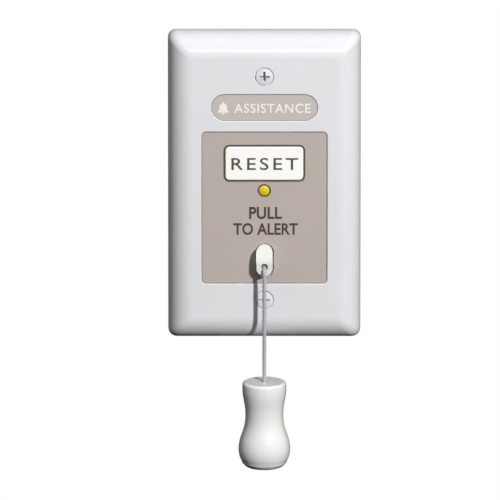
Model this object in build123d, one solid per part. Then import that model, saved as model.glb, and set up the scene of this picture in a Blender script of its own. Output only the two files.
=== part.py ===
from build123d import *
import math
import os

# Single-gang wall station with a pull cord: the cord tips a lever in the front
# panel, the lever closes a switch on the circuit board, and a key on the panel
# clears it.  Millimetres.  The wall surface is the plane y = 0, the front of the
# station looks along -Y, +Z is up, +X is to the right for somebody facing it.

os.makedirs("parts", exist_ok=True)

# ---------------------------------------------------------------- dimensions
PLATE_W, PLATE_H = 69.85, 114.3      # one-gang wall plate, 2.75 x 4.5 in
PLATE_R = 3.0                        # corner radius of the outline
FRONT = 10.4                         # front face stands this far off the wall
RIM = 1.6                            # straight edge at the wall before the pillow
PILLOW = 8.7                         # width of the rounded border
WALL = 2.2                           # wall thickness of the moulding
INNER = FRONT - WALL                 # depth of the hollow behind the front wall
SCREW_PITCH = 83.34                  # box screw centres, 3.281 in

PANEL_W, PANEL_H, PANEL_Z, PANEL_R = 45.5, 56.7, -7.19, 1.6
PANEL_POCKET, PANEL_T, PANEL_GAP = 0.80, 0.35, 0.22
BADGE_W, BADGE_H, BADGE_Z = 38.5, 9.85, 30.2
BADGE_POCKET, BADGE_T, BADGE_GAP = 0.60, 0.30, 0.14
POCKET_EDGE = 0.28                   # bevel round both label pockets

KEY_W, KEY_H, KEY_Z, KEY_R = 28.2, 12.4, 9.44, 1.5
KEY_RIM = 0.70                       # visible width of the dark surround
KEY_PROUD = 0.55                     # key face above the label
KEY_TRAVEL = 0.5
LED_Z, LED_RING_R, LED_R = -0.71, 2.42, 1.80

LEVER_W = 6.0
NOSE_TOP, NOSE_BOTTOM = -20.8, -31.7
NOSE_H = 4.8                         # nose height above the label
SLOT_W, SLOT_TOP, SLOT_BOTTOM = 6.7, -20.55, -33.3
SLOT_X = 0.13                        # the slot sits a touch to the right of the nose
PIVOT_Y, PIVOT_Z = -3.0, -22.5
PIN_R, PIN_HALF = 1.0, 7.2
HUB_R = 3.0
HOLE_Z, HOLE_R, HOLE_MOUTH_R = -28.35, 1.0, 1.42
POCKET_R = 2.15                      # knot pocket in the nose

CORD_D = 1.5
CORD_Y = -16.0                       # plane in which the cord hangs
PENDANT_TOP, PENDANT_BOTTOM = -70.75, -102.45

BOARD_W, BOARD_LOW, BOARD_HIGH = 46.0, -36.5, 33.5
BOARD_Y, BOARD_T = 3.0, 1.6
POST_X, POST_TOP, POST_LOW = 19.0, 29.5, -32.0

label_front = -(FRONT - PANEL_POCKET + PANEL_T)
label_back = -(FRONT - PANEL_POCKET)
nose_front = label_front - NOSE_H


# ------------------------------------------------------------------- helpers
def facing(y):
    """Plane at depth y: its x is +X, its y is +Z, its normal is -Y."""
    return Plane(origin=(0, y, 0), x_dir=(1, 0, 0), z_dir=(0, -1, 0))


def prism(sketch, y_back, y_front):
    return extrude(facing(y_back) * sketch, amount=y_back - y_front, dir=(0, -1, 0))


def cyl_y(x, z, r, y0, y1):
    return Pos(x, (y0 + y1) / 2, z) * Rot(90, 0, 0) * Cylinder(r, abs(y1 - y0))


def cyl_x(y, z, r, x0, x1):
    return Pos((x0 + x1) / 2, y, z) * Rot(0, 90, 0) * Cylinder(r, abs(x1 - x0))


def cyl_z(x, y, r, z0, z1):
    return Pos(x, y, (z0 + z1) / 2) * Cylinder(r, abs(z1 - z0))


def cone_y(x, z, r0, y0, r1, y1):
    """Frustum with radius r0 at y0 and r1 at y1, y1 < y0."""
    return Pos(x, (y0 + y1) / 2, z) * Rot(90, 0, 0) * Cone(r0, r1, abs(y1 - y0))


def box(x0, x1, y0, y1, z0, z1):
    return Pos((x0 + x1) / 2, (y0 + y1) / 2, (z0 + z1) / 2) * Box(
        abs(x1 - x0), abs(y1 - y0), abs(z1 - z0)
    )


def dome(r, y_edge, rise):
    """Spherical cap about the Y axis in profile: edge at (r, y_edge), crown at -rise."""
    ball = (r * r + rise * rise) / (2 * rise)
    half = math.asin(r / ball) / 2
    centre = y_edge - rise + ball
    mid = (ball * math.sin(half), centre - ball * math.cos(half))
    return ThreePointArc((r, y_edge), mid, (0, y_edge - rise))


def write(name, *shapes):
    solids = [s for shape in shapes for s in shape.solids()]
    whole = solids[0] if len(solids) == 1 else Compound(children=solids)
    whole.label = name
    export_step(whole, f"parts/{name}.step")


# ---------------------------------------------------------------- face plate
def pillow(a):
    """Inset and height of the rounded border at parameter a, in degrees."""
    t = math.radians(a)
    return PILLOW * (1 - math.cos(t)), RIM + (FRONT - RIM) * math.sin(t)


sections = []
for a in (0, 11, 22, 33, 44, 55, 66, 78, 90):
    inset, height = pillow(a)
    radius = PLATE_R - 1.8 * inset / PILLOW
    sections.append(
        facing(-height)
        * RectangleRounded(PLATE_W - 2 * inset, PLATE_H - 2 * inset, radius)
    )
shell = prism(RectangleRounded(PLATE_W, PLATE_H, PLATE_R), 0, -RIM) + loft(sections)

hollow = []
for y, inset, radius in (
    (1.0, 2.1, 1.5),
    (-4.6, 2.7, 1.5),
    (-6.9, 4.5, 1.3),
    (-INNER, 6.9, 1.0),
):
    hollow.append(
        facing(y) * RectangleRounded(PLATE_W - 2 * inset, PLATE_H - 2 * inset, radius)
    )
shell -= loft(hollow, ruled=True)

# shallow pockets for the two labels
shell -= prism(
    Pos(0, PANEL_Z) * RectangleRounded(PANEL_W, PANEL_H, PANEL_R),
    label_back,
    -FRONT - 1,
)
shell -= prism(
    Pos(0, BADGE_Z) * SlotOverall(BADGE_W, BADGE_H), -(FRONT - BADGE_POCKET), -FRONT - 1
)

for width, height, z, radius in (
    (PANEL_W, PANEL_H, PANEL_Z, PANEL_R),
    (BADGE_W, BADGE_H, BADGE_Z, BADGE_H / 2 - 0.01),
):
    shell -= loft(
        [
            facing(-FRONT + POCKET_EDGE)
            * Pos(0, z)
            * RectangleRounded(width, height, radius),
            facing(-FRONT - POCKET_EDGE)
            * Pos(0, z)
            * RectangleRounded(
                width + 4 * POCKET_EDGE, height + 4 * POCKET_EDGE, radius + 2 * POCKET_EDGE
            ),
        ],
        ruled=True,
    )

# openings for the key, the lamp and the lever
rim_w, rim_h = KEY_W + 2 * KEY_RIM, KEY_H + 2 * KEY_RIM
key_hole = Pos(0, KEY_Z) * RectangleRounded(rim_w, rim_h, KEY_R + KEY_RIM)
slot_mid, slot_len = (SLOT_TOP + SLOT_BOTTOM) / 2, SLOT_TOP - SLOT_BOTTOM
lever_slot = Pos(SLOT_X, slot_mid) * Rot(0, 0, 90) * SlotOverall(slot_len, SLOT_W)
lamp_hole = Pos(0, LED_Z) * Circle(LED_RING_R)
for opening in (key_hole, lever_slot, lamp_hole):
    shell -= prism(opening, -INNER + 2, -FRONT - 1)

# posts behind the front wall: four for the board, two for the lever bracket
posts = [(sx * POST_X, z) for sx in (-1, 1) for z in (POST_TOP, POST_LOW)]
for x, z in posts:
    shell += cyl_y(x, z, 2.6, -INNER - 0.2, BOARD_Y)
    shell -= cyl_y(x, z, 1.1, -6.0, BOARD_Y + 1)
BRACKET_X, BRACKET_Y = 10.2, -4.2
for sx in (-1, 1):
    shell += cyl_y(sx * BRACKET_X, PIVOT_Z, 2.4, -INNER - 0.2, BRACKET_Y)
    shell -= cyl_y(sx * BRACKET_X, PIVOT_Z, 0.9, -8.6, BRACKET_Y + 1)

# countersunk holes for the box screws
HEAD_R, SHANK_R = 3.15, 1.75
for z in (-SCREW_PITCH / 2, SCREW_PITCH / 2):
    shell -= cyl_y(0, z, 1.95, -INNER + 1, -FRONT - 1)
    shell -= cone_y(0, z, 1.95, -INNER - 0.25, HEAD_R + 0.42, -FRONT)
write("face_plate", shell)

# ------------------------------------------------------------- box screws
screws = []
for z in (-SCREW_PITCH / 2, SCREW_PITCH / 2):
    profile = Plane.XY * make_face(
        Polyline(
            (0, 15.0),
            (1.35, 15.0),
            (SHANK_R, 14.4),
            (SHANK_R, -INNER + 0.05),
            (1.70, -INNER - 0.05),
            (1.70, -INNER - 0.35),
            (HEAD_R, -FRONT + 0.30),
            (HEAD_R, -FRONT + 0.02),
            (HEAD_R - 0.16, -FRONT - 0.14),
        )
        + dome(HEAD_R - 0.16, -FRONT - 0.14, 0.36)
        + Line((0, -FRONT - 0.50), (0, 15.0))
    )
    screw = revolve(profile, Axis.Y, 360)
    recess = None
    for turn in (0, 90):
        blade = loft(
            [
                facing(-FRONT + 1.3) * Rot(0, 0, turn) * Rectangle(2.4, 0.55),
                facing(-FRONT - 1.3) * Rot(0, 0, turn) * Rectangle(5.0, 1.15),
            ]
        )
        recess = blade if recess is None else recess + blade
    screws.append(Pos(0, 0, z) * (screw - recess))
write("plate_screws", *screws)

# ------------------------------------------------------------------- labels
panel = Pos(0, PANEL_Z) * RectangleRounded(
    PANEL_W - 2 * PANEL_GAP, PANEL_H - 2 * PANEL_GAP, PANEL_R - PANEL_GAP
)
label = prism(panel, label_back, label_front)
for opening in (key_hole, lever_slot, lamp_hole):
    label -= prism(opening, label_back + 1, label_front - 1)
write("front_label", label)

badge_back = -(FRONT - BADGE_POCKET)
write(
    "badge_label",
    prism(
        Pos(0, BADGE_Z) * SlotOverall(BADGE_W - 2 * BADGE_GAP, BADGE_H - 2 * BADGE_GAP),
        badge_back,
        badge_back - BADGE_T,
    ),
)

# ---------------------------------------------------------- key and its rim
inner_w, inner_h = KEY_W + 0.2, KEY_H + 0.2
rim_front = label_front - 0.10
key_rim = prism(
    Pos(0, KEY_Z) * RectangleRounded(rim_w - 0.06, rim_h - 0.06, KEY_R + KEY_RIM),
    -INNER,
    rim_front,
)
key_rim += prism(
    Pos(0, KEY_Z) * RectangleRounded(rim_w + 2.4, rim_h + 2.4, 2.5), -INNER + 0.8, -INNER
)
key_rim -= prism(
    Pos(0, KEY_Z) * RectangleRounded(inner_w, inner_h, KEY_R + 0.1), 0, -FRONT - 1
)
key_rim -= cyl_y(0, LED_Z, 3.3, -INNER, 0)
write("key_surround", key_rim)

key_front = label_front - KEY_PROUD
cap = prism(
    Pos(0, KEY_Z) * RectangleRounded(KEY_W, KEY_H, KEY_R), -INNER + 1.9, key_front
)
cap = fillet(
    [e for e in cap.edges() if abs(e.center().Y - key_front) < 1e-3], 0.35
)
cap += prism(
    Pos(0, KEY_Z) * RectangleRounded(KEY_W + 1.8, KEY_H + 1.8, 2.2),
    -INNER + 1.9,
    -INNER + 0.9,
)
cap -= prism(
    Pos(0, KEY_Z) * RectangleRounded(KEY_W - 3.0, KEY_H - 3.0, 1.0),
    -INNER + 2.5,
    key_front + 1.5,
)
KEY_STEM_Y = -2.05
cap += cyl_y(0, KEY_Z, 2.0, key_front + 1.4, KEY_STEM_Y)
cap += box(-KEY_W / 2 + 1, KEY_W / 2 - 1, key_front + 1.4, -INNER + 1.9, KEY_Z - 0.5, KEY_Z + 0.5)
write("reset_key", cap)

# -------------------------------------------------------------------- lamp
ring = cyl_y(0, LED_Z, LED_RING_R - 0.03, label_front - 0.18, -INNER)
ring = fillet(
    [e for e in ring.edges() if abs(e.center().Y - (label_front - 0.18)) < 1e-3], 0.14
)
ring += cyl_y(0, LED_Z, 3.2, -INNER, -INNER + 0.8)
ring -= cyl_y(0, LED_Z, LED_R + 0.06, 0, -FRONT - 1)
write("lamp_ring", ring)

dome_y = label_front + 0.12
led_profile = make_face(
    Polyline((0, -5.2), (1.95, -5.2), (1.95, -6.2), (LED_R, -6.2), (LED_R, dome_y))
    + dome(LED_R, dome_y, 0.50)
    + Line((0, dome_y - 0.50), (0, -5.2))
)
write("indicator_lamp", Pos(0, 0, LED_Z) * revolve(Plane.XY * led_profile, Axis.Y, 360))
write(
    "lamp_leads",
    *[
        box(x - 0.25, x + 0.25, -5.2, BOARD_Y + BOARD_T + 0.9, LED_Z - 0.25, LED_Z + 0.25)
        for x in (-1.27, 1.27)
    ],
)

# ------------------------------------------------------------------- lever
side = Plane(origin=(-LEVER_W / 2, 0, 0), x_dir=(0, 1, 0), z_dir=(1, 0, 0))
FLANGE_FRONT, FLANGE_BACK = -INNER + 0.1, -INNER + 1.3
nose_profile = make_face(
    Polyline(
        (label_front, NOSE_TOP),
        (-6.6, NOSE_TOP),
        (-6.6, NOSE_BOTTOM),
        (nose_front, NOSE_BOTTOM),
        (nose_front, -26.9),
    )
    + ThreePointArc(
        (nose_front, -26.9), (label_front - 3.55, -23.7), (label_front, NOSE_TOP)
    )
)
nose = extrude(side * nose_profile, amount=LEVER_W, dir=(1, 0, 0))
nose_mid, nose_len = (NOSE_TOP + NOSE_BOTTOM) / 2, NOSE_TOP - NOSE_BOTTOM
nose &= prism(
    Pos(0, nose_mid) * Rot(0, 0, 90) * SlotOverall(nose_len, LEVER_W), 5, -FRONT - 9
)
front_edges = [
    e
    for e in nose.edges()
    if abs(e.center().Y - nose_front) < 1e-3 and e.center().Z < -27.0
]
nose = fillet(front_edges, 0.3)

lever = nose
lever += box(
    -4.2, 4.2, FLANGE_FRONT, FLANGE_BACK, PIVOT_Z - 0.5, NOSE_BOTTOM - 3.0
)
lever += box(-LEVER_W / 2, LEVER_W / 2, -6.7, PIVOT_Y, PIVOT_Z - 2.9, PIVOT_Z + 1.6)
lever += cyl_x(PIVOT_Y, PIVOT_Z, HUB_R, -LEVER_W / 2, LEVER_W / 2)
lever += cyl_x(PIVOT_Y, PIVOT_Z, 1.75, -5.0, 5.0)      # side collars
FOOT_Z, FOOT_TIP = -33.0, -4.0
foot = cyl_y(0, FOOT_Z, 1.2, FLANGE_BACK - 0.3, FOOT_TIP)
foot = fillet(
    [e for e in foot.edges() if abs(e.center().Y - FOOT_TIP) < 1e-3], 0.9
)
lever += foot
lever -= cyl_x(PIVOT_Y, PIVOT_Z, PIN_R + 0.05, -9, 9)
lever -= cyl_y(0, HOLE_Z, POCKET_R, nose_front + 1.85, 0)
lever -= cyl_y(0, HOLE_Z, HOLE_R, nose_front - 1, nose_front + 3)
lever -= cone_y(
    0, HOLE_Z, HOLE_R, nose_front + 0.75, HOLE_MOUTH_R + 0.02, nose_front - 0.02
)
write("pull_lever", lever)

write(
    "lever_pivot_pin",
    cyl_x(PIVOT_Y, PIVOT_Z, PIN_R, -PIN_HALF, PIN_HALF),
)

# yoke that carries the pin: two ears, a bridge above the hub and two feet
EAR_IN, EAR_OUT = 5.2, 7.2
yoke = None
for sx in (-1, 1):
    ear = box(sx * EAR_IN, sx * EAR_OUT, -6.2, -0.4, -26.2, -17.2)
    foot = box(
        sx * (EAR_OUT - 0.5), sx * 12.9, BRACKET_Y, BRACKET_Y + 1.5, -25.0, -20.0
    )
    half = ear + foot
    half -= cyl_y(sx * BRACKET_X, PIVOT_Z, 1.15, -8, 2)
    yoke = half if yoke is None else yoke + half
yoke += box(-EAR_OUT, EAR_OUT, -6.2, -0.4, -19.0, -17.2)
yoke -= cyl_x(PIVOT_Y, PIVOT_Z, PIN_R, -9, 9)
write("lever_bracket", yoke)

write(
    "bracket_screws",
    *[
        cyl_y(sx * BRACKET_X, PIVOT_Z, 0.9, -8.0, BRACKET_Y + 1.5)
        + (
            cyl_y(sx * BRACKET_X, PIVOT_Z, 1.9, BRACKET_Y + 1.5, BRACKET_Y + 2.8)
            - box(
                sx * BRACKET_X - 3,
                sx * BRACKET_X + 3,
                BRACKET_Y + 2.2,
                BRACKET_Y + 3.2,
                PIVOT_Z - 0.25,
                PIVOT_Z + 0.25,
            )
        )
        for sx in (-1, 1)
    ],
)

# return spring: coil round the right-hand collar, one leg behind the lever's
# flange and one under the bridge of the yoke
WIRE_R, COIL_R = 0.22, 2.15
coil = Helix(
    pitch=0.5, height=1.25, radius=COIL_R, center=(3.35, PIVOT_Y, PIVOT_Z), direction=(1, 0, 0)
)
coil = coil.rotate(Axis((0, PIVOT_Y, PIVOT_Z), (1, 0, 0)), 180)
spring = sweep(
    Plane(origin=coil @ 0, z_dir=coil % 0) * Circle(WIRE_R), path=coil, is_frenet=True
)
low, high = coil @ 0, coil @ 1
spring += Solid.make_cylinder(
    WIRE_R, 3.70, Plane(origin=(low.X, low.Y, low.Z), z_dir=(0, -1, -0.35))
)
spring += Solid.make_cylinder(
    WIRE_R, 2.05, Plane(origin=(high.X, high.Y, high.Z), z_dir=(0, 1, 0.60))
)
write("lever_spring", spring)

# -------------------------------------------------------- cord and pendant
cord_r = CORD_D / 2
KNOT_Y, KNOT_R = -11.0, 1.65
cord_start = -11.6
route = [
    (0, cord_start, HOLE_Z),
    (0, CORD_Y, HOLE_Z),
    (0, CORD_Y, -96.0),
]
first_run = abs(CORD_Y - cord_start)
bend = 0.45 * first_run / math.tan(math.radians(45))
path = FilletPolyline(*route, radius=bend)
cord = sweep(
    Plane(origin=path @ 0, z_dir=path % 0) * Circle(cord_r), path=path
)
expected = math.pi * cord_r**2 * path.length
print("cord bend radius", round(bend, 3), "length", round(path.length, 2))
print("cord volume over section times length", round(cord.volume / expected, 5))
write("pull_cord", cord)

upper_knot = Pos(0, KNOT_Y, HOLE_Z) * Sphere(KNOT_R)
upper_knot += Pos(0, KNOT_Y + 0.5, HOLE_Z) * Rot(90, 0, 0) * Torus(0.95, 0.62)
upper_knot -= cyl_y(0, HOLE_Z, cord_r + 0.05, cord_start + 0.1, -20)
write("upper_knot", upper_knot)

LOWER_KNOT_Z = -96.7
lower_knot = Pos(0, CORD_Y, LOWER_KNOT_Z) * Sphere(2.0)
lower_knot += Pos(0, CORD_Y, LOWER_KNOT_Z) * Torus(1.35, 0.85)
lower_knot += cyl_z(0, CORD_Y, cord_r, LOWER_KNOT_Z - 4.0, LOWER_KNOT_Z - 1.5)
write("lower_knot", lower_knot)

# the pendant: a turned bell with a rounded top rim, a waist and a full belly
outline = [
    (8.00, -72.9),
    (7.96, -74.6),
    (7.56, -77.3),
    (7.10, -80.0),
    (6.90, -82.8),
    (6.98, -85.3),
    (7.42, -87.8),
    (8.18, -90.2),
    (8.94, -92.6),
    (9.33, -94.9),
    (9.37, -96.4),
    (9.17, -97.9),
    (8.80, -99.2),
    (8.28, -100.35),
    (7.55, -101.5),
]
profile = (
    Polyline((1.0, PENDANT_TOP), (6.9, PENDANT_TOP))
    + ThreePointArc((6.9, PENDANT_TOP), (7.66, -71.08), (7.95, -71.9))
    + Spline(*([(7.95, -71.9)] + outline), tangents=[(0.18, -1), (-1.2, -0.95)])
    + ThreePointArc((7.55, -101.5), (7.02, -102.06), (6.3, PENDANT_BOTTOM))
    + Polyline(
        (6.3, PENDANT_BOTTOM),
        (3.1, PENDANT_BOTTOM),
        (3.1, -93.9),
        (1.0, -92.6),
        (1.0, PENDANT_TOP),
    )
)
turned = revolve(Plane.XZ * make_face(profile), Axis.Z, 360)
write("pendant", Pos(0, CORD_Y, 0) * turned)

# ------------------------------------------------------------ circuit board
board_mid, board_h = (BOARD_LOW + BOARD_HIGH) / 2, BOARD_HIGH - BOARD_LOW
board = prism(
    Pos(0, board_mid) * RectangleRounded(BOARD_W, board_h, 1.5), BOARD_Y + BOARD_T, BOARD_Y
)
for x, z in posts:
    board -= cyl_y(x, z, 1.5, BOARD_Y - 1, BOARD_Y + BOARD_T + 1)
for x in (-1.27, 1.27):
    board -= cyl_y(x, LED_Z, 0.42, BOARD_Y - 1, BOARD_Y + BOARD_T + 1)
write("circuit_board", board)
board_back = BOARD_Y + BOARD_T

board_screws = []
for x, z in posts:
    s = cyl_y(x, z, 1.1, -4.5, board_back)
    head = cyl_y(x, z, 2.5, board_back, board_back + 1.7)
    head = fillet(
        [e for e in head.edges() if abs(e.center().Y - (board_back + 1.7)) < 1e-3], 0.7
    )
    for turn in (0, 90):
        head -= (
            Pos(x, board_back + 1.4, z) * Rot(0, turn, 0) * Box(2.8, 1.6, 0.6)
        )
    board_screws.append(s + head)
write("board_screws", *board_screws)

# ------------------------------------------------------- the two switches
CALL_TOP = -0.4
call_body = box(-3.1, 3.1, CALL_TOP, BOARD_Y, FOOT_Z - 3.1, FOOT_Z + 3.1)
call_body = chamfer(
    [e for e in call_body.edges() if abs(e.center().Y - CALL_TOP) < 1e-3], 0.25
)
call_body -= cyl_y(0, FOOT_Z, 1.25, CALL_TOP - 1, 1.8)
write("call_switch_body", call_body)
write("call_switch_plunger", cyl_y(0, FOOT_Z, 1.2, FOOT_TIP + 0.08, 0.35))

KEY_SWITCH_TOP = -0.5
key_body = box(-3.1, 3.1, KEY_SWITCH_TOP, BOARD_Y, KEY_Z - 3.1, KEY_Z + 3.1)
key_body = chamfer(
    [e for e in key_body.edges() if abs(e.center().Y - KEY_SWITCH_TOP) < 1e-3], 0.25
)
key_body -= cyl_y(0, KEY_Z, 1.75, KEY_SWITCH_TOP - 1, 1.3)
write("reset_switch_body", key_body)
write("reset_switch_plunger", cyl_y(0, KEY_Z, 1.7, KEY_STEM_Y + 0.05, 0.4))

legs = []
for zc, w in ((FOOT_Z, 4.5), (KEY_Z, 4.5)):
    for sx in (-1, 1):
        for sz in (-1, 1):
            legs.append(
                box(
                    sx * 3.1,
                    sx * 4.6,
                    BOARD_Y - 0.30,
                    BOARD_Y,
                    zc + sz * w / 2 - 0.35,
                    zc + sz * w / 2 + 0.35,
                )
            )
write("switch_legs", *legs)

# --------------------------------------------- parts on the back of the board
TB_W, TB_D, TB_Z0, TB_Z1 = 20.6, 10.0, -30.0, -21.0
block = box(-TB_W / 2, TB_W / 2, board_back, board_back + TB_D, TB_Z0, TB_Z1)
block = chamfer(
    [
        e
        for e in block.edges()
        if abs(e.center().Y - (board_back + TB_D)) < 1e-3 and abs(e.center().X) < 1
    ],
    1.0,
)
ways = [(-1.5 + i) * 5.08 for i in range(4)]
clamps, clamp_screws = [], []
for x in ways:
    block -= box(x - 1.7, x + 1.7, board_back + 2.0, board_back + 5.4, TB_Z0 - 1, TB_Z0 + 6.8)
    block -= cyl_y(x, TB_Z0 + 4.6, 1.75, board_back + 5.0, board_back + TB_D + 1)
    cage = box(x - 1.6, x + 1.6, board_back + 2.1, board_back + 5.3, TB_Z0 + 1.6, TB_Z0 + 6.7)
    cage -= box(x - 1.1, x + 1.1, board_back + 2.6, board_back + 4.6, TB_Z0, TB_Z0 + 8)
    cage -= cyl_y(x, TB_Z0 + 4.6, 1.05, board_back + 4.0, board_back + 6.0)
    clamps.append(cage)
    scr = cyl_y(x, TB_Z0 + 4.6, 1.0, board_back + 3.4, board_back + 6.2)
    scr += cyl_y(x, TB_Z0 + 4.6, 1.65, board_back + 6.2, board_back + 8.4)
    scr -= box(x - 2, x + 2, board_back + 7.7, board_back + 9, TB_Z0 + 4.3, TB_Z0 + 4.9)
    clamp_screws.append(scr)
write("terminal_block", block)
write("terminal_cages", *clamps)
write("terminal_screws", *clamp_screws)

chip = box(-12.5, -2.5, board_back + 0.15, board_back + 1.75, 12.0, 16.0)
chip = chamfer(
    [e for e in chip.edges() if abs(e.center().Y - (board_back + 1.75)) < 1e-3], 0.2
)
write("controller_chip", chip)
chip_leads = []
for i in range(8):
    x = -12.0 + 0.555 + i * 1.27
    for sz, z in ((1, 16.0), (-1, 12.0)):
        chip_leads.append(
            box(x - 0.2, x + 0.2, board_back, board_back + 0.25, z + sz * 0.35, z + sz * 1.15)
            + box(x - 0.2, x + 0.2, board_back, board_back + 0.95, z + sz * 0.15, z + sz * 0.40)
            + box(x - 0.2, x + 0.2, board_back + 0.70, board_back + 0.95, z, z + sz * 0.40)
        )
write("chip_leads", *chip_leads)

cap_x, cap_z = 11.0, 13.0
can = cyl_y(cap_x, cap_z, 3.15, board_back + 0.9, board_back + 7.6)
can = fillet(
    [e for e in can.edges() if abs(e.center().Y - (board_back + 7.6)) < 1e-3], 0.5
)
can += box(cap_x - 3.3, cap_x + 3.3, board_back, board_back + 0.9, cap_z - 3.3, cap_z + 3.3)
write("filter_capacitor", can)

resistors = []
for x, z in ((-11, 4), (-7, 4), (-3, 4), (6, 3), (10, 3), (-11, -6), (-7, -6), (9, -10)):
    resistors.append(box(x - 1.0, x + 1.0, board_back, board_back + 0.5, z - 0.62, z + 0.62))
write("surface_resistors", *resistors)
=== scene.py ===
import bpy
import bmesh
import math

import numpy as np
from mathutils import Matrix, Vector


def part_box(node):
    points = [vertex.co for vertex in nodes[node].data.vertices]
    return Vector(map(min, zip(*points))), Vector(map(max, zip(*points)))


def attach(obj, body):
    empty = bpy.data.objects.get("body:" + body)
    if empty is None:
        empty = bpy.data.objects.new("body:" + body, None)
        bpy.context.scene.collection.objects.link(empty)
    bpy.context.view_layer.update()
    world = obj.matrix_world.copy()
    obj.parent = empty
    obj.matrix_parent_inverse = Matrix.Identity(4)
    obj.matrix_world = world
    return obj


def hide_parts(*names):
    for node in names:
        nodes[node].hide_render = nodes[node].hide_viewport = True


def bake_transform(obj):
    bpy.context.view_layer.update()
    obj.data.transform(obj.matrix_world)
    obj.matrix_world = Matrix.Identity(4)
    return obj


# Single-gang wall station with a pull cord.  Metres; the wall is the plane y = 0,
# the front looks along -Y, +Z is up.
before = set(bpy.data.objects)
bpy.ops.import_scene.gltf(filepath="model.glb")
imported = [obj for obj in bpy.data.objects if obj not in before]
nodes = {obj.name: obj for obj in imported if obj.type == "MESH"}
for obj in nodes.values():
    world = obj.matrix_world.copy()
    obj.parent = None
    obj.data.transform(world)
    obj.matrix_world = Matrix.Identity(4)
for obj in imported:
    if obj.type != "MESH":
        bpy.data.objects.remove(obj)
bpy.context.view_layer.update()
scene = bpy.context.scene
MM = 0.001

# ------------------------------------------------------------------- camera
ELEVATION = math.radians(14.5)
DISTANCE = 5.0
aim = Vector((-5.2, 0.0, -25.58)) * MM
cam_data = bpy.data.cameras.new("camera")
cam_data.sensor_width = 36.0
cam_data.lens = 36.0 * DISTANCE / 0.1817
cam_data.clip_start, cam_data.clip_end = 0.1, 50.0
camera = bpy.data.objects.new("camera", cam_data)
scene.collection.objects.link(camera)
away = Vector((0.0, -math.cos(ELEVATION), math.sin(ELEVATION)))
camera.location = aim + away * DISTANCE
camera.rotation_mode = "QUATERNION"
camera.rotation_quaternion = (-away).to_track_quat("-Z", "Y")
scene.camera = camera
scene.view_settings.view_transform = "Standard"
scene.view_settings.look = "None"
scene.view_settings.exposure = 0.0
scene.view_settings.gamma = 1.0


# ------------------------------------------------------------------ helpers
def link(obj):
    scene.collection.objects.link(obj)
    return obj


def mesh_object(name, verts, faces, smooth=True):
    me = bpy.data.meshes.new(name)
    me.from_pydata([tuple(v) for v in verts], [], faces)
    me.validate()
    me.update()
    if smooth:
        me.polygons.foreach_set("use_smooth", [True] * len(me.polygons))
    return link(bpy.data.objects.new(name, me))


def sharp_by_angle(obj, degrees):
    """Marks the edges that turn more than this as sharp."""
    bm = bmesh.new()
    bm.from_mesh(obj.data)
    bmesh.ops.recalc_face_normals(bm, faces=bm.faces)
    limit = math.radians(degrees)
    for e in bm.edges:
        if len(e.link_faces) == 2 and e.calc_face_angle(0.0) > limit:
            e.smooth = False
    bm.to_mesh(obj.data)
    bm.free()


def spline_points(curve_obj):
    """The points of a curve's own line, read from the curve without its bevel."""
    bare = bpy.data.objects.new("bare", curve_obj.data.copy())
    bare.data.bevel_depth = 0.0
    me = bpy.data.meshes.new_from_object(bare)
    pts = np.array([v.co for v in me.vertices], float)
    bpy.data.meshes.remove(me)
    bpy.data.curves.remove(bare.data)
    return pts


def nurbs(name, points, order=3, resolution=24):
    data = bpy.data.curves.new(name, "CURVE")
    data.dimensions = "3D"
    sp = data.splines.new("NURBS")
    sp.points.add(len(points) - 1)
    for p, co in zip(sp.points, points):
        p.co = (*co, 1.0)
    sp.order_u = order
    sp.use_endpoint_u = True
    sp.resolution_u = resolution
    data.resolution_u = resolution
    return bpy.data.objects.new(name, data)


def resample(pts, step):
    along = np.concatenate([[0], np.cumsum(np.linalg.norm(np.diff(pts, axis=0), axis=1))])
    n = max(2, int(math.ceil(along[-1] / step)) + 1)
    at = np.linspace(0, along[-1], n)
    return np.stack([np.interp(at, along, pts[:, k]) for k in range(3)], axis=1), at


def frames_along(pts):
    """Tangents and two side vectors that don't twist along the line."""
    t = np.gradient(pts, axis=0)
    t /= np.linalg.norm(t, axis=1)[:, None]
    u = np.zeros_like(t)
    first = np.cross(t[0], [1.0, 0.0, 0.0])
    if np.linalg.norm(first) < 1e-3:
        first = np.cross(t[0], [0.0, 1.0, 0.0])
    u[0] = first / np.linalg.norm(first)
    for i in range(1, len(t)):
        v = u[i - 1] - t[i] * np.dot(u[i - 1], t[i])
        u[i] = v / np.linalg.norm(v)
    w = np.cross(t, u)
    return t, u, w


def twisted_tube(name, pts, radius, pitch, step=0.00016, sides=30, strands=3, ends=True):
    """A laid cord: strands that turn round the line, as one closed skin."""
    line, at = resample(pts, step)
    t, u, w = frames_along(line)
    e, rho = 0.38 * radius, 0.62 * radius
    verts, faces = [], []
    k = np.arange(sides) * 2 * math.pi / sides
    for i, p in enumerate(line):
        turn = 2 * math.pi * at[i] / pitch
        phi = (k - turn) % (2 * math.pi / strands)
        phi = np.minimum(phi, 2 * math.pi / strands - phi)
        r = e * np.cos(phi) + np.sqrt(np.maximum(rho**2 - (e * np.sin(phi)) ** 2, 1e-12))
        ring = p + (np.cos(k) * r)[:, None] * u[i] + (np.sin(k) * r)[:, None] * w[i]
        verts.extend(ring.tolist())
    n = len(line)
    for i in range(n - 1):
        for j in range(sides):
            a, b = i * sides + j, i * sides + (j + 1) % sides
            faces.append((a, b, b + sides, a + sides))
    if ends:
        faces.append(tuple(reversed(range(sides))))
        faces.append(tuple(range((n - 1) * sides, n * sides)))
    obj = mesh_object(name, verts, faces)
    return obj, line


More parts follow.
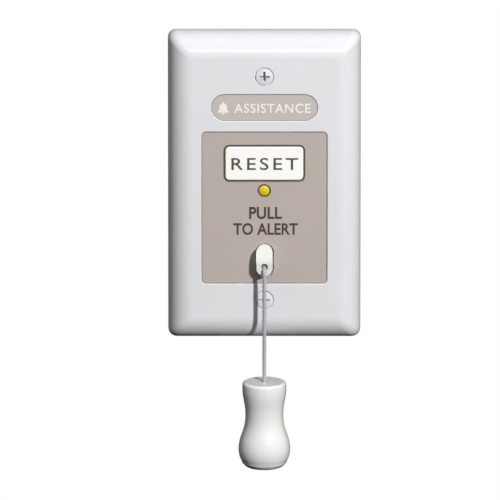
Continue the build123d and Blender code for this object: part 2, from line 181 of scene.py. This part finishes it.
def lathe(name, profile, axis_point, segments=128):
    """Turns a closed (radius, height) outline round the Z axis through axis_point."""
    verts, faces = [], []
    m = len(profile)
    for s in range(segments):
        a = 2 * math.pi * s / segments
        for r, z in profile:
            verts.append(
                (
                    axis_point[0] + r * math.cos(a),
                    axis_point[1] + r * math.sin(a),
                    axis_point[2] + z,
                )
            )
    for s in range(segments):
        s2 = (s + 1) % segments
        for i in range(m):
            i2 = (i + 1) % m
            faces.append((s * m + i, s2 * m + i, s2 * m + i2, s * m + i2))
    return mesh_object(name, verts, faces)


# ---------------------------------------------------------------- materials
class Mat:
    """A procedural material: a Principled shader with helpers for its inputs."""

    def __init__(self, name, color, rough=0.4, metal=0.0, spec=0.5):
        self.m = bpy.data.materials.new(name)
        self.m.use_nodes = True
        self.t = self.m.node_tree
        self.n, self.l = self.t.nodes, self.t.links
        self.n.clear()
        self.out = self.n.new("ShaderNodeOutputMaterial")
        self.b = self.n.new("ShaderNodeBsdfPrincipled")
        self.l.new(self.b.outputs[0], self.out.inputs[0])
        self.b.inputs["Base Color"].default_value = (*color, 1)
        self.b.inputs["Roughness"].default_value = rough
        self.b.inputs["Metallic"].default_value = metal
        self.b.inputs["Specular IOR Level"].default_value = spec
        self.color = color
        self.rough = rough
        self.coord = self.n.new("ShaderNodeTexCoord").outputs["Object"]

    def scaled(self, scale):
        node = self.n.new("ShaderNodeMapping")
        node.inputs["Scale"].default_value = scale
        self.l.new(self.coord, node.inputs["Vector"])
        return node.outputs[0]

    def noise(self, scale, detail=3.0, rough=0.5, vector=None, distort=0.0):
        node = self.n.new("ShaderNodeTexNoise")
        node.inputs["Scale"].default_value = scale
        node.inputs["Detail"].default_value = detail
        node.inputs["Roughness"].default_value = rough
        node.inputs["Distortion"].default_value = distort
        self.l.new(vector or self.coord, node.inputs["Vector"])
        return node.outputs["Fac"]

    def voronoi(self, scale, feature="F1", vector=None, output="Distance"):
        node = self.n.new("ShaderNodeTexVoronoi")
        node.feature = feature
        node.inputs["Scale"].default_value = scale
        self.l.new(vector or self.coord, node.inputs["Vector"])
        return node.outputs[output]

    def ramp(self, fac, lo, hi, a=0.0, b=1.0, clamp=True):
        node = self.n.new("ShaderNodeMapRange")
        node.clamp = clamp
        node.inputs["From Min"].default_value = lo
        node.inputs["From Max"].default_value = hi
        node.inputs["To Min"].default_value = a
        node.inputs["To Max"].default_value = b
        self.l.new(fac, node.inputs["Value"])
        return node.outputs[0]

    def math(self, op, a, b=None):
        node = self.n.new("ShaderNodeMath")
        node.operation = op
        for i, x in enumerate((a, b)):
            if x is None:
                continue
            if isinstance(x, (int, float)):
                node.inputs[i].default_value = x
            else:
                self.l.new(x, node.inputs[i])
        return node.outputs[0]

    def xyz(self):
        node = self.n.new("ShaderNodeSeparateXYZ")
        self.l.new(self.coord, node.inputs[0])
        return node.outputs

    def mix(self, fac, a, b):
        node = self.n.new("ShaderNodeMix")
        node.data_type = "RGBA"
        for socket, x in ((node.inputs[0], fac), (node.inputs[6], a), (node.inputs[7], b)):
            if isinstance(x, tuple):
                socket.default_value = (*x, 1)
            elif isinstance(x, (int, float)):
                socket.default_value = x
            else:
                self.l.new(x, socket)
        return node.outputs[2]

    def set_color(self, socket):
        self.l.new(socket, self.b.inputs["Base Color"])

    def set_rough(self, socket):
        self.l.new(socket, self.b.inputs["Roughness"])

    def set_metal(self, socket):
        self.l.new(socket, self.b.inputs["Metallic"])

    def bump(self, height, distance, strength=1.0, normal=None):
        node = self.n.new("ShaderNodeBump")
        node.inputs["Strength"].default_value = strength
        node.inputs["Distance"].default_value = distance
        self.l.new(height, node.inputs["Height"])
        if normal is not None:
            self.l.new(normal, node.inputs["Normal"])
        self.l.new(node.outputs[0], self.b.inputs["Normal"])
        return node.outputs[0]

    def vary(self, fac, amount):
        """Base colour a little darker and lighter with fac."""
        lo = tuple(c * (1 - amount) for c in self.color)
        hi = tuple(min(1.0, c * (1 + amount)) for c in self.color)
        return self.mix(fac, lo, hi)


def srgb(r, g, b):
    def f(c):
        c /= 255.0
        return c / 12.92 if c <= 0.04045 else ((c + 0.055) / 1.055) ** 2.4

    return (f(r), f(g), f(b))


def moulded(name, color, rough, grain=2600.0, depth=1.2e-5, vary=0.012, spec=0.5):
    """Moulded plastic: a faint orange peel, slight cloudiness, uneven gloss."""
    k = Mat(name, color, rough, spec=spec)
    k.set_color(k.vary(k.ramp(k.noise(70.0, 2.0), 0.3, 0.7), vary))
    k.set_rough(k.ramp(k.noise(900.0, 4.0), 0.3, 0.7, rough * 0.88, rough * 1.14))
    k.bump(k.noise(grain, 2.0), depth, 0.6)
    return k


m_plate = moulded("white_moulding", (0.70, 0.70, 0.72), 0.24)
m_key = moulded("key_plastic", (0.90, 0.895, 0.87), 0.34, grain=3800.0, vary=0.006)
m_lever = moulded("lever_plastic", (0.68, 0.675, 0.64), 0.5, grain=3800.0, spec=0.3)
m_trim = moulded("dark_trim", srgb(88, 80, 60), 0.42, grain=5000.0, vary=0.06)
m_pendant = moulded("white_pendant", (0.79, 0.80, 0.77), 0.17, grain=1500.0, depth=1.5e-5)
m_pendant.b.inputs["Coat Weight"].default_value = 0.7
m_pendant.b.inputs["Coat Roughness"].default_value = 0.08

m_label = Mat("taupe_label", (0.44, 0.388, 0.352), 0.46)
m_label.set_color(m_label.vary(m_label.ramp(m_label.noise(9000.0, 2.0), 0.25, 0.75), 0.05))
m_label.set_rough(m_label.ramp(m_label.noise(1500.0, 3.0), 0.3, 0.7, 0.42, 0.52))
m_label.bump(m_label.noise(11000.0, 2.0), 6.0e-6, 0.8)

m_badge = Mat("taupe_label_badge", (0.505, 0.455, 0.42), 0.42)
m_badge.set_color(m_badge.vary(m_badge.ramp(m_badge.noise(9000.0, 2.0), 0.25, 0.75), 0.04))
m_badge.set_rough(m_badge.ramp(m_badge.noise(1500.0, 3.0), 0.3, 0.7, 0.38, 0.48))
m_badge.bump(m_badge.noise(11000.0, 2.0), 6.0e-6, 0.8)

m_ink = Mat("printed_ink", srgb(76, 63, 54), 0.55, spec=0.3)
m_ink.set_color(m_ink.vary(m_ink.ramp(m_ink.noise(12000.0, 3.0), 0.3, 0.7), 0.12))
m_ink.bump(m_ink.noise(14000.0, 2.0), 4.0e-6, 0.6)

m_key_ink = Mat("printed_ink_key", srgb(86, 78, 60), 0.5, spec=0.3)
m_key_ink.set_color(m_key_ink.vary(m_key_ink.ramp(m_key_ink.noise(12000.0, 3.0), 0.3, 0.7), 0.12))
m_key_ink.bump(m_key_ink.noise(14000.0, 2.0), 4.0e-6, 0.6)

m_badge_ink = Mat("printed_white", (0.80, 0.78, 0.75), 0.45)
m_badge_ink.set_color(m_badge_ink.vary(m_badge_ink.ramp(m_badge_ink.noise(12000.0, 3.0), 0.3, 0.7), 0.05))
m_badge_ink.bump(m_badge_ink.noise(14000.0, 2.0), 4.0e-6, 0.6)

m_lamp = Mat("lamp_lens", (0.72, 0.56, 0.02), 0.5, spec=0.25)
lx, ly, lz = m_lamp.xyz()
off_z = m_lamp.math("ADD", lz, 0.00071)
radial = m_lamp.math(
    "SQRT", m_lamp.math("ADD", m_lamp.math("MULTIPLY", lx, lx), m_lamp.math("MULTIPLY", off_z, off_z))
)
cells = m_lamp.voronoi(2300.0)
core = m_lamp.mix(m_lamp.ramp(cells, 0.15, 0.75), (0.78, 0.60, 0.010), (0.60, 0.46, 0.010))
m_lamp.set_color(m_lamp.mix(m_lamp.ramp(radial, 0.00112, 0.00150), core, (0.78, 0.64, 0.11)))
m_lamp.bump(cells, 3.0e-5, 0.6)
m_lamp.b.inputs["Coat Weight"].default_value = 0.08
m_lamp.b.inputs["Coat Roughness"].default_value = 0.15

m_lamp_ring = moulded("lamp_ring_trim", srgb(104, 84, 30), 0.40, grain=5000.0, vary=0.06)

m_cord = Mat("cord_textile", srgb(164, 162, 170), 0.62)
fibre = m_cord.noise(1.0, 4.0, 0.6, vector=m_cord.scaled((9000.0, 9000.0, 2200.0)))
m_cord.set_color(m_cord.mix(m_cord.ramp(fibre, 0.3, 0.7), srgb(134, 132, 141), srgb(196, 195, 200)))
m_cord.bump(fibre, 4.0e-5, 0.8)
m_cord.b.inputs["Sheen Weight"].default_value = 0.08
m_cord.b.inputs["Sheen Roughness"].default_value = 0.4

m_screw = Mat("screw_enamel", (0.69, 0.70, 0.735), 0.30)
sy = m_screw.xyz()[1]
on_head = m_screw.ramp(sy, -0.0098, -0.0090, 1.0, 0.0)
chips = m_screw.ramp(m_screw.noise(2600.0, 4.0), 0.66, 0.70)
paint = m_screw.math("MULTIPLY", on_head, m_screw.math("SUBTRACT", 1.0, chips))
m_screw.set_color(m_screw.mix(paint, (0.55, 0.56, 0.58), (0.69, 0.70, 0.735)))
m_screw.set_metal(m_screw.math("SUBTRACT", 1.0, paint))
m_screw.set_rough(m_screw.ramp(paint, 0.0, 1.0, 0.38, 0.24))
m_screw.bump(m_screw.noise(3000.0, 3.0), 1.5e-5, 0.6)


def metal(name, color, rough, scale=(300.0, 300.0, 6000.0)):
    k = Mat(name, color, rough, 1.0)
    lines = k.noise(1.0, 4.0, 0.6, vector=k.scaled(scale))
    k.set_color(k.vary(k.ramp(lines, 0.3, 0.7), 0.08))
    k.set_rough(k.ramp(k.noise(1200.0, 3.0), 0.3, 0.7, rough * 0.8, rough * 1.3))
    k.bump(lines, 8.0e-6, 0.5)
    return k


m_plated = metal("plated_steel", (0.66, 0.65, 0.62), 0.30)
m_spring = metal("spring_steel", (0.50, 0.50, 0.51), 0.24)
m_tin = metal("tinned_metal", (0.78, 0.78, 0.77), 0.28)
m_can = metal("capacitor_can", (0.62, 0.63, 0.65), 0.32, (4000.0, 300.0, 4000.0))
m_nylon = moulded("grey_nylon", (0.36, 0.36, 0.37), 0.48, vary=0.05)
m_black = moulded("black_plastic", (0.022, 0.022, 0.024), 0.5, grain=6000.0, vary=0.15)
m_button = moulded("switch_button", (0.48, 0.06, 0.04), 0.42, vary=0.05)
m_green = moulded("terminal_green", (0.02, 0.26, 0.11), 0.42, vary=0.06)

m_board = Mat("board_green", (0.012, 0.12, 0.045), 0.28)
weave = m_board.voronoi(1400.0, "F1", vector=m_board.scaled((1.0, 0.0, 1.0)))
m_board.set_color(
    m_board.mix(m_board.ramp(weave, 0.0, 0.8), (0.010, 0.10, 0.036), (0.018, 0.15, 0.06))
)
m_board.set_rough(m_board.ramp(m_board.noise(500.0, 3.0), 0.3, 0.7, 0.24, 0.36))
m_board.bump(m_board.noise(1800.0, 2.0), 2.0e-5, 0.5)

for name, mat in {
    "face_plate": m_plate,
    "plate_screws": m_screw,
    "front_label": m_label,
    "badge_label": m_badge,
    "key_surround": m_trim,
    "reset_key": m_key,
    "lamp_ring": m_lamp_ring,
    "indicator_lamp": m_lamp,
    "lamp_leads": m_tin,
    "pull_lever": m_lever,
    "lever_pivot_pin": m_plated,
    "lever_bracket": m_nylon,
    "bracket_screws": m_plated,
    "lever_spring": m_spring,
    "pull_cord": m_cord,
    "upper_knot": m_cord,
    "lower_knot": m_cord,
    "pendant": m_pendant,
    "circuit_board": m_board,
    "board_screws": m_plated,
    "call_switch_body": m_black,
    "call_switch_plunger": m_button,
    "reset_switch_body": m_black,
    "reset_switch_plunger": m_button,
    "switch_legs": m_tin,
    "terminal_block": m_green,
    "terminal_cages": m_tin,
    "terminal_screws": m_plated,
    "controller_chip": m_black,
    "chip_leads": m_tin,
    "filter_capacitor": m_can,
    "surface_resistors": m_black,
}.items():
    slots = nodes[name].material_slots
    for s in slots:
        s.material = mat.m
    if not slots:
        nodes[name].data.materials.append(mat.m)

# --------------------------------------------------------------------- cord
CORD_R = 0.75 * MM
HOLE_Z = -28.35
route = [
    Vector((0.0, -11.6, HOLE_Z - 0.12)) * MM,
    Vector((0.0, -15.9, HOLE_Z - 0.22)) * MM,
    Vector((0.0, -16.0, HOLE_Z - 4.4)) * MM,
    Vector((0.0, -16.0, -95.3)) * MM,
]
cord_line = nurbs("cord_line", route)
cord_pts = spline_points(cord_line)
cord, cord_path = twisted_tube("pull_cord_rope", cord_pts, CORD_R, 3.4 * MM)
cord.data.materials.append(m_cord.m)
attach(cord, "cord")
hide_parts("pull_cord")

# the overhand knot under the pendant's hole, with its short tail
KNOT = np.array((0.0, -16.0, -97.1))
SPREAD = 0.66
turn = np.linspace(math.pi / 3 + 0.30, math.pi / 3 + 2 * math.pi - 0.30, 34)
loop = SPREAD * np.stack(
    [np.sin(turn) + 2 * np.sin(2 * turn), np.cos(turn) - 2 * np.cos(2 * turn), -np.sin(3 * turn)],
    axis=1,
)
first, last = loop[0] / np.hypot(*loop[0][:2]), loop[-1] / np.hypot(*loop[-1][:2])
lead = [(0.0, 0.0, 2.55), (0.0, 0.0, 2.1)] + [
    (first[0] * k * SPREAD, first[1] * k * SPREAD, z) for k, z in ((0.9, 1.85), (2.1, 1.35))
]
tail = [(last[0] * k * SPREAD, last[1] * k * SPREAD, z) for k, z in ((2.1, -1.35), (0.9, -1.85))] + [
    (0.0, 0.0, -2.3), (0.15, 0.1, -3.0), (0.35, 0.2, -4.0)
]
knot_points = [Vector(KNOT + np.array(p)) * MM for p in lead + loop.tolist() + tail]
knot_line = nurbs("knot_line", knot_points, order=3, resolution=8)
knot, _ = twisted_tube("lower_knot_rope", spline_points(knot_line), 0.62 * MM, 3.0 * MM, sides=24)
knot.data.materials.append(m_cord.m)
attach(knot, "cord")
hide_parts("lower_knot")

# --------------------------------------------------------------- lettering
def lettering(name, body, width, cap, centre_x, centre_z, y_front, weight, mat, depth=0.03 * MM, spacing=1.0):
    """A line of printed letters, scaled to its width and cap height."""
    data = bpy.data.curves.new(name, "FONT")
    data.body = body
    data.size = 1.0
    data.offset = weight
    data.space_character = spacing
    data.resolution_u = 6
    data.fill_mode = "BOTH"
    data.extrude = 0.5
    tmp = bpy.data.objects.new(name, data)
    me = bpy.data.meshes.new_from_object(tmp)
    bpy.data.curves.remove(data)
    co = np.array([v.co for v in me.vertices], float)
    lo, hi = co.min(0), co.max(0)
    sx, sz = width / (hi[0] - lo[0]), cap / (hi[1] - lo[1])
    out = np.empty_like(co)
    out[:, 0] = (co[:, 0] - (lo[0] + hi[0]) / 2) * sx + centre_x
    out[:, 2] = (co[:, 1] - (lo[1] + hi[1]) / 2) * sz + centre_z
    out[:, 1] = y_front - (co[:, 2] + 0.5) * depth + 0.2 * depth
    me.vertices.foreach_set("co", out.astype(np.float32).ravel())
    me.materials.clear()
    me.materials.append(mat.m)
    me.update()
    me.name = name
    obj = link(bpy.data.objects.new(name, me))
    return obj


label_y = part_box("front_label")[0].y
key_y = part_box("reset_key")[0].y
badge_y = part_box("badge_label")[0].y

key_text = lettering("key_lettering", "RESET", 24.2 * MM, 4.55 * MM, 0.15 * MM, 9.3 * MM, key_y, 0.008, m_key_ink, spacing=1.28)
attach(key_text, "key")
line_1 = lettering("label_lettering_1", "PULL", 11.8 * MM, 4.55 * MM, 0.4 * MM, -9.15 * MM, label_y, 0.024, m_ink, spacing=1.02)
line_2 = lettering("label_lettering_2", "TO ALERT", 23.4 * MM, 4.45 * MM, 0.45 * MM, -15.15 * MM, label_y, 0.024, m_ink, spacing=1.02)
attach(line_1, "root")
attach(line_2, "root")

badge_text = lettering("badge_lettering", "ASSISTANCE", 27.6 * MM, 3.5 * MM, 2.9 * MM, 29.95 * MM, badge_y, 0.012, m_badge_ink, spacing=1.12)
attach(badge_text, "root")


def printed(name, loops, centre_x, centre_z, y_front, mat, depth=0.03 * MM):
    """A flat printed sign from closed outlines given in millimetres."""
    verts, faces = [], []
    for loop in loops:
        base, n = len(verts), len(loop)
        for y in (y_front + 0.2 * depth, y_front - 0.8 * depth):
            verts += [(px * MM + centre_x, y, pz * MM + centre_z) for px, pz in loop]
        faces.append(tuple(reversed(range(base, base + n))))
        faces.append(tuple(range(base + n, base + 2 * n)))
        for i in range(n):
            j = (i + 1) % n
            faces.append((base + i, base + j, base + n + j, base + n + i))
    obj = mesh_object(name, verts, faces, smooth=False)
    obj.data.materials.append(mat.m)
    return obj


def arc(cx, cz, radius, a0, a1, n=14):
    return [
        (
            cx + radius * math.cos(math.radians(a0 + (a1 - a0) * i / n)),
            cz + radius * math.sin(math.radians(a0 + (a1 - a0) * i / n)),
        )
        for i in range(n + 1)
    ]


bell = arc(0.0, 0.45, 1.35, 0.0, 180.0, 20) + [
    (-1.42, -0.55), (-1.62, -0.98), (-2.05, -1.42), (-2.05, -1.62),
    (2.05, -1.62), (2.05, -1.42), (1.62, -0.98), (1.42, -0.55),
]
clapper = arc(0.0, -1.78, 0.62, 180.0, 360.0, 12)
knob = arc(0.0, 2.06, 0.30, -90.0, 250.0, 16)
sign = printed("badge_bell", [bell, clapper, knob], -14.9 * MM, 30.0 * MM, badge_y, m_badge_ink)
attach(sign, "root")

# ------------------------------------- painted shade: a dark ring in the groove round the labels
def rounded(width, height, radius, centre_z, per_corner=16):
    pts = []
    for cx, cz, a0 in (
        (width / 2 - radius, height / 2 - radius, 0.0),
        (-width / 2 + radius, height / 2 - radius, 90.0),
        (-width / 2 + radius, -height / 2 + radius, 180.0),
        (width / 2 - radius, -height / 2 + radius, 270.0),
    ):
        pts += [(x, z + centre_z) for x, z in arc(cx, cz, radius, a0, a0 + 90.0, per_corner)]
    return pts


# a thin ring of painted shade between the outer and inner outline, standing in for the groove's shadow
def groove_shade_ring(name, outer, inner, y_back, y_front):
    n = len(outer)
    verts, faces = [], []
    for loop, y in ((outer, y_back), (outer, y_front), (inner, y_front), (inner, y_back)):
        verts += [(x * MM, y, z * MM) for x, z in loop]
    for k in range(4):
        a, b = k * n, ((k + 1) % 4) * n
        for i in range(n):
            j = (i + 1) % n
            faces.append((a + i, a + j, b + j, b + i))
    obj = mesh_object(name, verts, faces, smooth=False)
    sharp_by_angle(obj, 30.0)
    obj.data.materials.append(m_groove_shade.m)
    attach(obj, "root")
    return obj


# painted shade: this dark colour stands in for the shadow that falls in the groove round each label
m_groove_shade = moulded("painted_groove_shade", srgb(62, 58, 54), 0.6, grain=5000.0, vary=0.08)
groove_shade_ring(
    "panel_groove_shade",
    rounded(45.46, 56.66, 1.58, -7.19),
    rounded(45.08, 56.28, 1.40, -7.19),
    label_y + 0.33 * MM,
    label_y + 0.015 * MM,
)
groove_shade_ring(
    "badge_groove_shade",
    rounded(38.47, 9.82, 4.90, 30.2),
    rounded(38.24, 9.59, 4.785, 30.2),
    badge_y + 0.28 * MM,
    badge_y + 0.015 * MM,
)

# ------------------------- return spring: a copy of the spring's mesh stands in for the part
spring = link(nodes["lever_spring"].copy())
spring.data = nodes["lever_spring"].data.copy()
spring.name = spring.data.name = "lever_spring_wire"
for key in list(spring.keys()):
    del spring[key]
spring.parent = None
spring.matrix_world = Matrix.Identity(4)
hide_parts("lever_spring")
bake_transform(spring)

# ------------------------------------------------------------ floor, light
floor = mesh_object(
    "floor", [(-30, -30, -0.16), (30, -30, -0.16), (30, 30, -0.16), (-30, 30, -0.16)], [(0, 1, 2, 3)]
)
fm = bpy.data.materials.new("floor")
fm.use_nodes = True
ft = fm.node_tree
ft.nodes.clear()
fo = ft.nodes.new("ShaderNodeOutputMaterial")
fe = ft.nodes.new("ShaderNodeEmission")
fe.inputs[0].default_value = (1, 1, 1, 1)
fe.inputs[1].default_value = 1.0
ft.links.new(fe.outputs[0], fo.inputs[0])
floor.data.materials.append(fm)
floor.visible_diffuse = False
floor.visible_glossy = False
floor.visible_transmission = False
floor.visible_shadow = False

world = bpy.data.worlds.new("studio")
scene.world = world
world.use_nodes = True
wt = world.node_tree
wt.nodes.clear()
wo = wt.nodes.new("ShaderNodeOutputWorld")
bg = wt.nodes.new("ShaderNodeBackground")
tc = wt.nodes.new("ShaderNodeTexCoord")
sep = wt.nodes.new("ShaderNodeSeparateXYZ")
wt.links.new(tc.outputs["Generated"], sep.inputs[0])
ramp = wt.nodes.new("ShaderNodeValToRGB")
ramp.color_ramp.elements[0].position = 0.0
ramp.color_ramp.elements[0].color = (0.0, 0.0, 0.0, 1)
ramp.color_ramp.elements[1].position = 1.0
ramp.color_ramp.elements[1].color = (0.24, 0.24, 0.25, 1)
mid = ramp.color_ramp.elements.new(0.5)
mid.color = (0.028, 0.028, 0.030, 1)
mr = wt.nodes.new("ShaderNodeMapRange")
mr.inputs["From Min"].default_value = -1
mr.inputs["From Max"].default_value = 1
wt.links.new(sep.outputs[2], mr.inputs["Value"])
wt.links.new(mr.outputs[0], ramp.inputs[0])
lp = wt.nodes.new("ShaderNodeLightPath")
mixw = wt.nodes.new("ShaderNodeMix")
mixw.data_type = "RGBA"
wt.links.new(lp.outputs["Is Camera Ray"], mixw.inputs[0])
wt.links.new(ramp.outputs[0], mixw.inputs[6])
mixw.inputs[7].default_value = (1, 1, 1, 1)
wt.links.new(mixw.outputs[2], bg.inputs[0])
bg.inputs[1].default_value = 1.0
wt.links.new(bg.outputs[0], wo.inputs[0])


def area(name, azimuth, elevation, distance, size, size_y, power, color=(1, 1, 1), target=(0, 0, -0.02)):
    data = bpy.data.lights.new(name, "AREA")
    data.shape = "RECTANGLE"
    data.size, data.size_y = size, size_y
    data.energy = power
    data.color = color
    obj = link(bpy.data.objects.new(name, data))
    a, e = math.radians(azimuth), math.radians(elevation)
    back = Vector((math.sin(a) * math.cos(e), -math.cos(a) * math.cos(e), math.sin(e)))
    obj.location = Vector(target) + back * distance
    obj.rotation_mode = "QUATERNION"
    obj.rotation_quaternion = (-back).to_track_quat("-Z", "Y")
    obj.visible_camera = False
    return obj


area("key", 29.5, 25.0, 1.6, 0.10, 0.10, 28.0)
area("front_top", 0.0, 28.0, 1.6, 0.25, 0.05, 1.5)
area("top", 0.0, 84.0, 1.2, 0.8, 0.8, 2.7).visible_glossy = False
area("left", -68.0, 34.0, 1.6, 0.5, 0.5, 3.4).visible_glossy = False
area("back", 180.0, 4.0, 1.6, 0.4, 0.4, 11.0).visible_glossy = False
